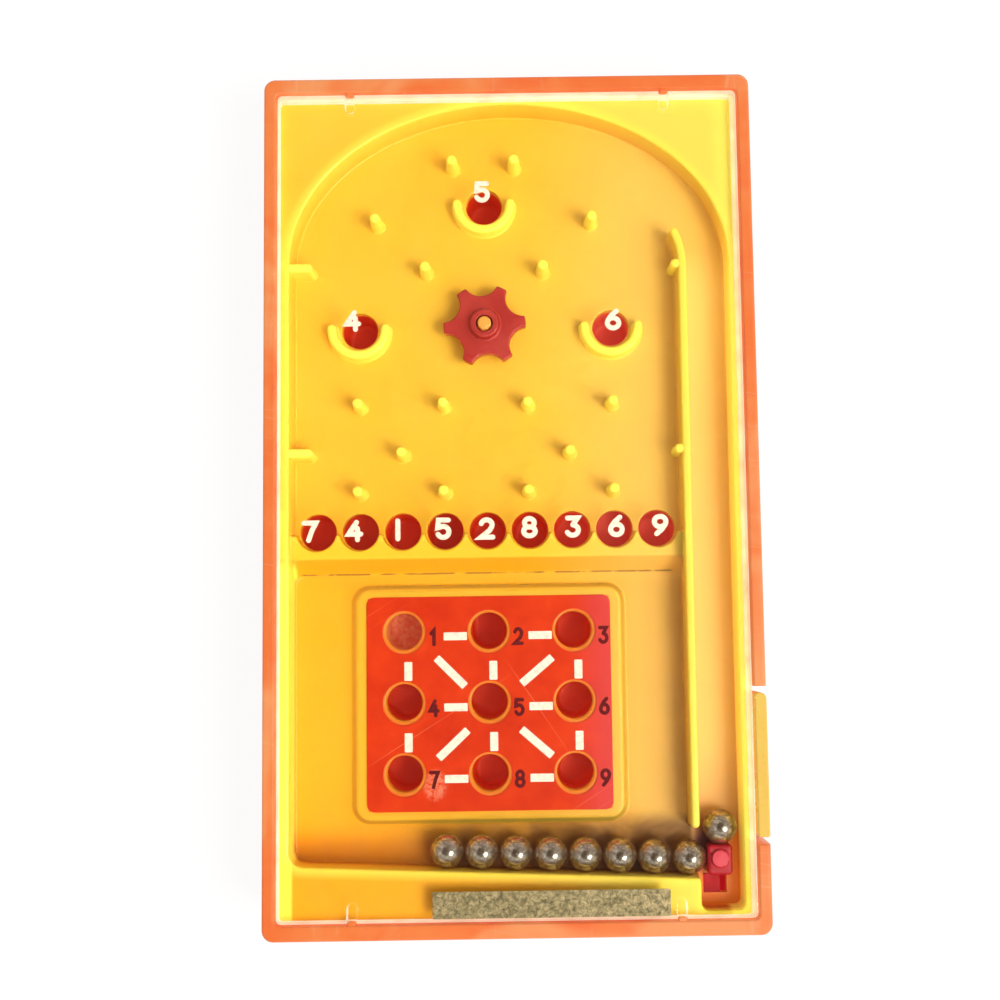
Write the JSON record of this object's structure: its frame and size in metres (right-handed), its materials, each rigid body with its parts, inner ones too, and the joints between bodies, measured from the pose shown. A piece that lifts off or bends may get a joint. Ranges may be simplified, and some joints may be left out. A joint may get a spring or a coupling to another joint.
{
  "type": "pocket ball game",
  "caption": "Flat hand-held ball game: orange case, yellow pin board with star wheel and numbered holes under a clear cover, ball tray, and a side lever that shoots steel balls up a lane.",
  "frame": {"origin": "middle of the flat back face", "axes": "+X to the right and +Y up the board as it is played, +Z out of the clear cover"},
  "size_m": [0.069, 0.12, 0.018],
  "materials": {
    "case_orange": "moulded orange polystyrene, worn satin gloss",
    "tray_red": "moulded red polystyrene",
    "board_yellow": "moulded yellow polystyrene, soft gloss",
    "cover_clear": "clear polystyrene with fine scratches and white printed numerals",
    "sticker_print": "glossy orange-red printed sticker with cream bars and dark numerals",
    "label_foil": "bare worn foil, speckled",
    "pin_steel": "bright steel wire",
    "spring_steel": "spring steel wire",
    "star_red": "moulded red polystyrene",
    "hammer_red": "moulded crimson plastic",
    "ball_steel": "polished steel balls, slightly tarnished"
  },
  "bodies": {
    "shell": {"case": "case_orange", "tray_base": "tray_red", "ball_tray": "tray_red", "board": "board_yellow", "board_edge": "board_yellow", "cover": "cover_clear", "grid_sticker": "sticker_print", "foil_label": "label_foil", "lever_pin": "pin_steel", "return_spring": "spring_steel"},
    "star_wheel": {"star_wheel": "star_red"},
    "lever": {"lever": "board_yellow"},
    "hammer": {"hammer": "hammer_red"},
    "lane_ball": {"lane_ball": "ball_steel"},
    "row_ball_1": {"row_ball_1": "ball_steel"},
    "row_ball_2": {"row_ball_2": "ball_steel"},
    "row_ball_3": {"row_ball_3": "ball_steel"},
    "row_ball_4": {"row_ball_4": "ball_steel"},
    "row_ball_5": {"row_ball_5": "ball_steel"},
    "row_ball_6": {"row_ball_6": "ball_steel"},
    "row_ball_7": {"row_ball_7": "ball_steel"},
    "row_ball_8": {"row_ball_8": "ball_steel"}
  },
  "joints": [
    {"name": "star_spin", "type": "hinge", "parent": "shell", "child": "star_wheel", "pos_m": [-0.0036, 0.025, 0.0102], "axis": [0, 0, 1], "continuous": true},
    {"name": "lever_swing", "type": "hinge", "parent": "shell", "child": "lever", "pos_m": [0.0336, -0.0284, 0.009], "axis": [0, 0, 1], "range_deg": [0, 42]},
    {"name": "hammer_slide", "type": "slide", "parent": "shell", "child": "hammer", "axis": [0, -1, 0], "range_m": [0, 0.004], "stiffness_N_per_m": 780, "springref_m": -0.0015, "deforming": ["return_spring"]},
    {"name": "lane_ball_roll", "type": "slide", "parent": "shell", "child": "lane_ball", "axis": [0, 1, 0], "range_m": [0, 0.074]},
    {"name": "row_ball_1_roll", "type": "slide", "parent": "shell", "child": "row_ball_1", "axis": [-0.9992, 0.0401, 0], "range_m": [0, 0.018]},
    {"name": "row_ball_2_roll", "type": "slide", "parent": "shell", "child": "row_ball_2", "axis": [-0.9992, 0.0401, 0], "range_m": [0, 0.018]},
    {"name": "row_ball_3_roll", "type": "slide", "parent": "shell", "child": "row_ball_3", "axis": [-0.9992, 0.0401, 0], "range_m": [0, 0.018]},
    {"name": "row_ball_4_roll", "type": "slide", "parent": "shell", "child": "row_ball_4", "axis": [-0.9992, 0.0401, 0], "range_m": [0, 0.018]},
    {"name": "row_ball_5_roll", "type": "slide", "parent": "shell", "child": "row_ball_5", "axis": [-0.9992, 0.0401, 0], "range_m": [0, 0.018]},
    {"name": "row_ball_6_roll", "type": "slide", "parent": "shell", "child": "row_ball_6", "axis": [-0.9992, 0.0401, 0], "range_m": [0, 0.018]},
    {"name": "row_ball_7_roll", "type": "slide", "parent": "shell", "child": "row_ball_7", "axis": [-0.9992, 0.0401, 0], "range_m": [0, 0.018]},
    {"name": "row_ball_8_roll", "type": "slide", "parent": "shell", "child": "row_ball_8", "axis": [-0.9992, 0.0401, 0], "range_m": [0, 0.018]}
  ],
  "couplings": [
    {"joint": "lever_swing", "follows": "hammer_slide", "rad_per_m": 183.2},
    {"joint": "row_ball_2_roll", "follows": "row_ball_1_roll", "ratio": 1},
    {"joint": "row_ball_3_roll", "follows": "row_ball_1_roll", "ratio": 1},
    {"joint": "row_ball_4_roll", "follows": "row_ball_1_roll", "ratio": 1},
    {"joint": "row_ball_5_roll", "follows": "row_ball_1_roll", "ratio": 1},
    {"joint": "row_ball_6_roll", "follows": "row_ball_1_roll", "ratio": 1},
    {"joint": "row_ball_7_roll", "follows": "row_ball_1_roll", "ratio": 1},
    {"joint": "row_ball_8_roll", "follows": "row_ball_1_roll", "ratio": 1}
  ]
}
